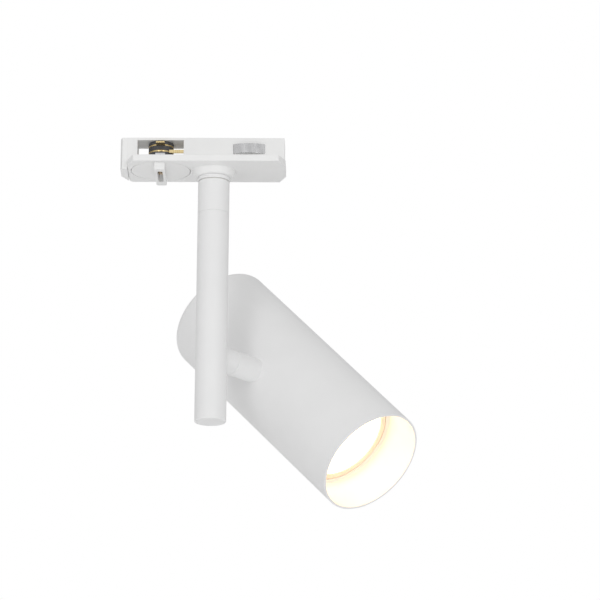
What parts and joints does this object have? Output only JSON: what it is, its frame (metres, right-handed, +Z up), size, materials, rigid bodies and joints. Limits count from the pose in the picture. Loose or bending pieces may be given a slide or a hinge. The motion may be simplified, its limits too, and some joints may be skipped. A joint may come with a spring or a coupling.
{
  "type": "track spotlight",
  "caption": "Track spotlight: lever-locked track adapter, swivelling pole and side-mounted cylindrical head that tilts, with a twist-lock lamp.",
  "frame": {"origin": "on the pan axis of the pole, in the plane where the adapter cover seats against the underside of the track", "axes": "+X along the track, +Y across the track, +Z up into the track; the pole hangs along -Z"},
  "size_m": [0.1512, 0.1178, 0.1864],
  "materials": {
    "white_paint": "fine satin powder coat",
    "white_plastic": "satin moulded",
    "dark_plastic": "matt moulded",
    "zinc_steel": "zinc plated",
    "spring_steel": "bright rolled",
    "brass": "turned and stamped",
    "copper_screw": "dull copper plated",
    "nylon": "natural nylon",
    "cable_sheath": "matt silicone",
    "brown_insulation": "smooth insulation",
    "blue_insulation": "smooth insulation",
    "green_insulation": "smooth insulation",
    "ceramic": "unglazed steatite",
    "lamp_plastic": "smooth moulded",
    "lamp_lens": "frosted diffuser",
    "lamp_board": "white solder mask",
    "circuit_board": "green solder mask",
    "nickel_pins": "nickel plated"
  },
  "bodies": {
    "adapter": {"adapter_cover": "white_plastic", "adapter_base": "white_plastic", "adapter_lid": "white_plastic", "base_screws": "zinc_steel", "neck_ring": "white_paint", "pan_nipple": "zinc_steel", "nipple_washer": "zinc_steel", "nipple_nut": "brass", "live_strip": "brass", "neutral_strip": "brass", "earth_spring": "spring_steel", "retaining_spring": "spring_steel", "live_lead_adapter": "brown_insulation", "neutral_lead_adapter": "blue_insulation", "earth_lead_adapter": "green_insulation", "cable_adapter": "cable_sheath"},
    "lock": {"lock_lever": "white_plastic", "contact_rotor": "dark_plastic", "lock_cam": "zinc_steel", "live_blade": "brass", "neutral_blade": "brass", "rotor_screw": "copper_screw", "rotor_circlip": "zinc_steel"},
    "pole": {"pole_sleeve": "white_paint", "pan_bush": "nylon", "pan_spring": "zinc_steel", "pan_stop_pin": "zinc_steel", "pole_tube": "white_paint", "pole_end_plug": "white_paint", "stub_fixed": "white_paint", "tilt_tube": "zinc_steel", "tilt_nut_pole": "brass", "tilt_nut_head": "brass", "tilt_spring": "zinc_steel", "tilt_washer": "nylon", "cable_pole": "cable_sheath"},
    "head": {"head_housing": "white_paint", "stub_turning": "white_paint", "saddle_washer": "zinc_steel", "lamp_bracket": "zinc_steel", "lampholder": "ceramic", "holder_screws": "zinc_steel", "holder_contacts": "brass", "earth_tag": "brass", "earth_screw": "zinc_steel", "lamp_collar": "white_paint", "cable_head": "cable_sheath", "live_lead_head": "brown_insulation", "neutral_lead_head": "blue_insulation", "earth_lead_head": "green_insulation"},
    "lamp": {"lamp_shell": "lamp_plastic", "lamp_lens": "lamp_lens", "led_board": "lamp_board", "driver_board": "circuit_board", "lamp_pins": "nickel_pins"}
  },
  "joints": [
    {"name": "lock_turn", "type": "hinge", "parent": "adapter", "child": "lock", "pos_m": [-0.0272, 0, 0], "axis": [0, 0, 1], "range_deg": [0, 90]},
    {"name": "pan", "type": "hinge", "parent": "adapter", "child": "pole", "pos_m": [0, 0, -0.009], "axis": [0, 0, 1], "range_deg": [-170, 170]},
    {"name": "tilt", "type": "hinge", "parent": "pole", "child": "head", "pos_m": [0, 0, -0.101], "axis": [0.6088, 0.7934, 0], "range_deg": [-43, 137]},
    {"name": "lamp_twist", "type": "hinge", "parent": "head", "child": "lamp", "pos_m": [0.03713, 0.0484, -0.101], "axis": [0.5802, -0.4452, -0.682], "range_deg": [0, 20]}
  ]
}
